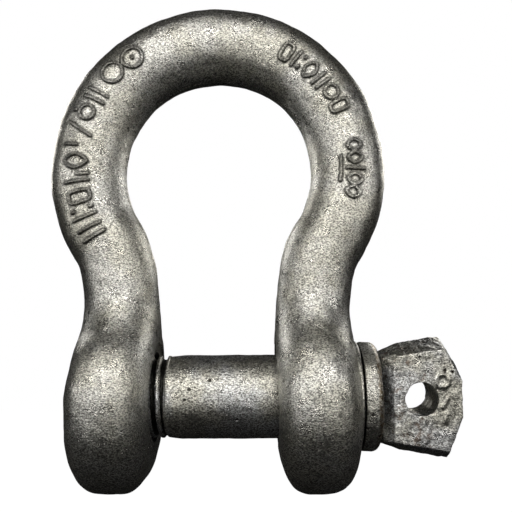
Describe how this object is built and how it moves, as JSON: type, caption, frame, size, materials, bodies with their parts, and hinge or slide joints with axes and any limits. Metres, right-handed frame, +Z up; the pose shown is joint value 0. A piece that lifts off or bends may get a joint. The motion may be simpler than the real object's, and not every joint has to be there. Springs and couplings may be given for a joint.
{
  "type": "bow shackle",
  "caption": "Forged and galvanised bow shackle: a round bow with an ear at each end, and a screw pin with a collar and a flat eye that unscrews and draws out sideways.",
  "frame": {"origin": "where a load bears on the inside of the crown, on the shackle's middle plane", "axes": "+Z up through the crown, away from the pin; +X along the pin towards its eye; the view that shows the bow face on looks along +Y"},
  "size_m": [0.1932, 0.082, 0.2342],
  "materials": {
    "galvanised_bow": "hot-dip galvanised forging, satin grey with an olive tint and a fine hammered grain",
    "galvanised_collar": "hot-dip galvanised, worn brighter on its rim",
    "galvanised_pin": "hot-dip galvanised, pitted on the shank and coarsely stippled on the eye"
  },
  "bodies": {
    "bow": {"bow": "galvanised_bow"},
    "collar": {"collar": "galvanised_collar"},
    "screw_pin": {"screw_pin": "galvanised_pin"}
  },
  "joints": [
    {"name": "pin_travel", "type": "slide", "parent": "bow", "child": "collar", "axis": [1, 0, 0], "range_m": [0, 0.1482]},
    {"name": "pin_turn", "type": "hinge", "parent": "collar", "child": "screw_pin", "pos_m": [0, 0, -0.15465], "axis": [1, 0, 0], "range_deg": [0, 12600]}
  ],
  "couplings": [
    {"joint": "pin_travel", "follows": "pin_turn", "m_per_rad": 0.00067376}
  ]
}
